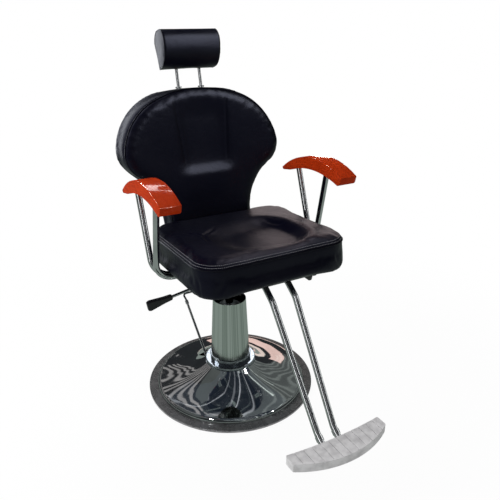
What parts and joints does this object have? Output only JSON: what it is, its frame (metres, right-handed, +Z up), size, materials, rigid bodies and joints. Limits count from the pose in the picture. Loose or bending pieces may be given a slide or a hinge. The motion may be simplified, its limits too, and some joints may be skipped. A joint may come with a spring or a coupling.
{
  "type": "hydraulic barber chair",
  "caption": "Black upholstered barber chair on a round chrome hydraulic base, with a reclining back, headrest, wooden armrests and a footrest.",
  "frame": {"origin": "on the floor, on the axis of the column", "axes": "+Z up, -Y the way the sitter faces, +X the sitter's left"},
  "size_m": [0.6668, 1.0143, 1.2127],
  "materials": {
    "polished_chrome": "mirror",
    "rim_metal": "satin",
    "zinc_steel": "satin",
    "black_steel": "satin",
    "cast_iron": "matte",
    "gland_metal": "satin",
    "black_leather": "semi-gloss",
    "lacquered_wood": "gloss",
    "plywood": "matte",
    "brushed_aluminium": "brushed",
    "black_plastic": "satin",
    "seal_rubber": "matte"
  },
  "bodies": {
    "base": {"floor_ring": "rim_metal", "base_plate": "cast_iron", "base_cover": "polished_chrome", "neck_ring": "polished_chrome", "collar_ring": "polished_chrome", "column_cover": "polished_chrome", "pump_cylinder": "cast_iron", "pressure_tube": "zinc_steel", "gland_nut": "gland_metal", "rod_seal": "seal_rubber", "base_bolts": "zinc_steel", "pump_block": "cast_iron", "lever_bracket": "black_steel", "lever_pin": "zinc_steel", "pump_spring": "zinc_steel"},
    "plunger": {"pump_plunger": "zinc_steel"},
    "pump_lever": {"pump_lever": "polished_chrome", "pedal_bar": "zinc_steel", "lever_ferrule": "polished_chrome"},
    "piston": {"piston_rod": "polished_chrome", "piston_head": "zinc_steel"},
    "seat": {"swivel_hub": "cast_iron", "mount_plate": "black_steel", "plate_bolts": "zinc_steel", "seat_frame": "black_steel", "seat_board": "plywood", "seat_cushion": "black_leather", "arm_clamps": "black_steel", "arm_frame_left": "polished_chrome", "arm_frame_right": "polished_chrome", "armrest_left": "lacquered_wood", "armrest_right": "lacquered_wood", "arm_studs": "zinc_steel", "hinge_brackets": "black_steel", "hinge_pins": "zinc_steel", "gas_bracket": "black_steel", "gas_pin": "zinc_steel", "gas_cylinder": "black_steel", "footrest_brackets": "black_steel", "footrest_shaft": "zinc_steel", "release_bracket": "black_steel", "release_pin": "zinc_steel"},
    "recline_lever": {"recline_lever": "polished_chrome", "recline_grip": "black_plastic"},
    "gas_rod": {"gas_rod": "polished_chrome"},
    "backrest": {"back_arms": "black_steel", "cross_rod": "zinc_steel", "back_board": "plywood", "back_cushion": "black_leather", "back_screws": "zinc_steel", "rod_guides": "polished_chrome"},
    "headrest": {"headrest_rods": "polished_chrome", "headrest_board": "plywood", "headrest_cushion": "black_leather"},
    "footrest": {"footrest_sleeve": "black_steel", "footrest_tubes": "polished_chrome", "footplate": "brushed_aluminium", "footrest_collars": "polished_chrome", "footplate_screws": "zinc_steel"},
    "footrest_link": {"footrest_link": "zinc_steel"}
  },
  "joints": [
    {"name": "lift", "type": "slide", "parent": "base", "child": "piston", "axis": [0, 0, 1], "range_m": [-0.09, 0.06]},
    {"name": "swivel", "type": "hinge", "parent": "piston", "child": "seat", "pos_m": [0, 0, 0.48], "axis": [0, 0, 1], "continuous": true},
    {"name": "recline", "type": "hinge", "parent": "seat", "child": "backrest", "pos_m": [0, 0.175, 0.525], "axis": [-1, 0, 0], "range_deg": [0, 45]},
    {"name": "headrest_height", "type": "slide", "parent": "backrest", "child": "headrest", "axis": [0, 0.2079, 0.9781], "range_m": [-0.05, 0.06]},
    {"name": "footrest_swing", "type": "hinge", "parent": "seat", "child": "footrest", "pos_m": [0, -0.3, 0.531], "axis": [-1, 0, 0], "range_deg": [0, 35]},
    {"name": "link_swing", "type": "hinge", "parent": "backrest", "child": "footrest_link", "pos_m": [0.121, 0.18415, 0.50292], "axis": [-1, 0, 0], "range_deg": [-48, 0]},
    {"name": "gas_rod_slide", "type": "slide", "parent": "seat", "child": "gas_rod", "axis": [0, -1, 0], "range_m": [0, 0.0461]},
    {"name": "recline_release", "type": "hinge", "parent": "seat", "child": "recline_lever", "pos_m": [-0.1, -0.15, 0.5094], "axis": [0, 1, 0], "range_deg": [0, 12], "stiffness_Nm_per_rad": 2, "springref_deg": -17.19},
    {"name": "pump_stroke", "type": "hinge", "parent": "base", "child": "pump_lever", "pos_m": [-0.068, 0.04, 0.062], "axis": [1, 0, 0], "range_deg": [-20, 0], "stiffness_Nm_per_rad": 6, "springref_deg": 20.05},
    {"name": "plunger_slide", "type": "slide", "parent": "base", "child": "plunger", "axis": [0, 0, 1], "range_m": [-0.0105, 0], "deforming": ["pump_spring"]}
  ],
  "couplings": [
    {"joint": "footrest_swing", "follows": "recline", "ratio": 0.7777},
    {"joint": "link_swing", "follows": "recline", "ratio": -1.052},
    {"joint": "gas_rod_slide", "follows": "recline", "m_per_rad": 0.0585},
    {"joint": "plunger_slide", "follows": "pump_stroke", "m_per_rad": 0.029}
  ]
}
